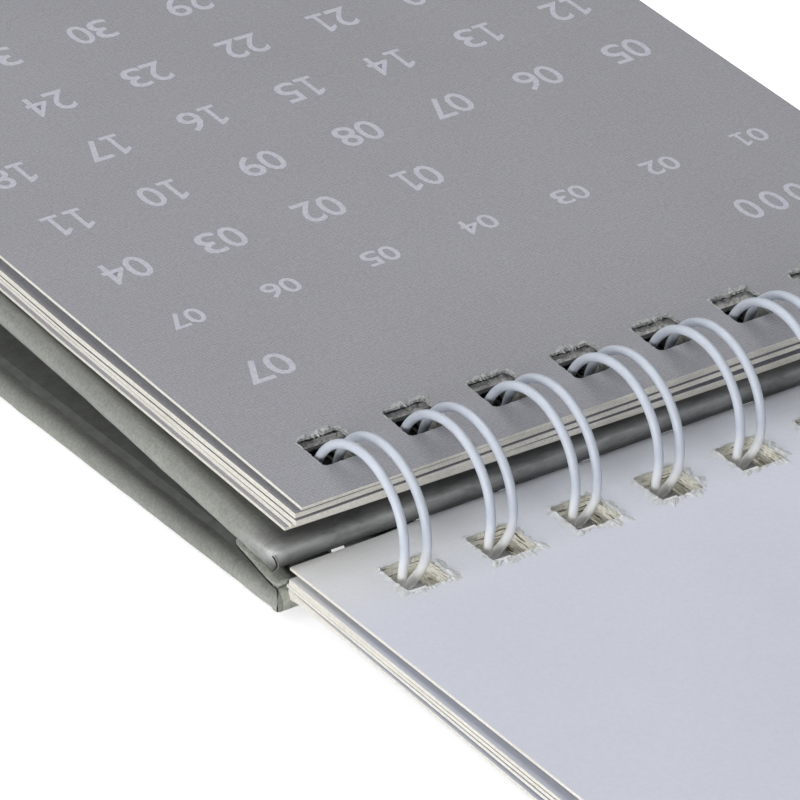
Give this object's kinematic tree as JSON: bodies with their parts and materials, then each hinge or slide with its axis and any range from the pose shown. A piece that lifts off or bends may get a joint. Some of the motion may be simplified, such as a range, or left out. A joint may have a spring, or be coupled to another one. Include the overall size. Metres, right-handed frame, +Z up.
{
  "type": "desk calendar",
  "caption": "Small wire bound desk calendar on a folded easel of wrapped boards, lying open on its back with part of its leaves turned over the rings.",
  "frame": {"origin": "centre of the bounding box in X and Y, on the table that the calendar lies on", "axes": "+Z up from the table, +X along the binding wire, +Y from the wire towards the far end of the boards and the unturned leaves; -Y towards the far end of the turned leaves"},
  "size_m": [0.0804, 0.1793, 0.0144],
  "materials": {
    "wrapped_board": "matt grey wrapping paper over board",
    "lining_paper": "matt",
    "printed_leaves": "matt, grey printed face",
    "plain_leaves": "matt, blank backs",
    "coated_wire": "white coated, satin"
  },
  "bodies": {
    "back": {"back_panel": "wrapped_board", "back_lining": "lining_paper", "binding_wire": "coated_wire"},
    "front": {"front_panel": "wrapped_board", "front_lining": "lining_paper"},
    "base_rear_half": {"base_rear": "wrapped_board"},
    "base_front_half": {"base_front": "wrapped_board"},
    "leaves_unturned": {"unturned_pages": "printed_leaves"},
    "leaves_turned": {"turned_pages": "plain_leaves"}
  },
  "joints": [
    {"name": "easel_open", "type": "hinge", "parent": "back", "child": "front", "pos_m": [0, -0.00132, 0.00729], "axis": [1, 0, 0], "range_deg": [0, 22]},
    {"name": "base_rear_fold", "type": "hinge", "parent": "back", "child": "base_rear_half", "pos_m": [0, 0.08844, 0.00333], "axis": [-1, 0, 0], "range_deg": [0, 46.5]},
    {"name": "base_front_fold", "type": "hinge", "parent": "front", "child": "base_front_half", "pos_m": [0, 0.08854, 0.00909], "axis": [1, 0, 0], "range_deg": [0, 46.5]},
    {"name": "unturned_leaves_turn", "type": "hinge", "parent": "front", "child": "leaves_unturned", "pos_m": [0, -0.00132, 0.00729], "axis": [1, 0, 0], "range_deg": [0, 52]},
    {"name": "turned_leaves_turn", "type": "hinge", "parent": "back", "child": "leaves_turned", "pos_m": [0, -0.00132, 0.00729], "axis": [-1, 0, 0], "range_deg": [0, 52]}
  ],
  "couplings": [
    {"joint": "base_rear_fold", "follows": "easel_open", "ratio": 2.1},
    {"joint": "base_front_fold", "follows": "easel_open", "ratio": 2.1}
  ]
}
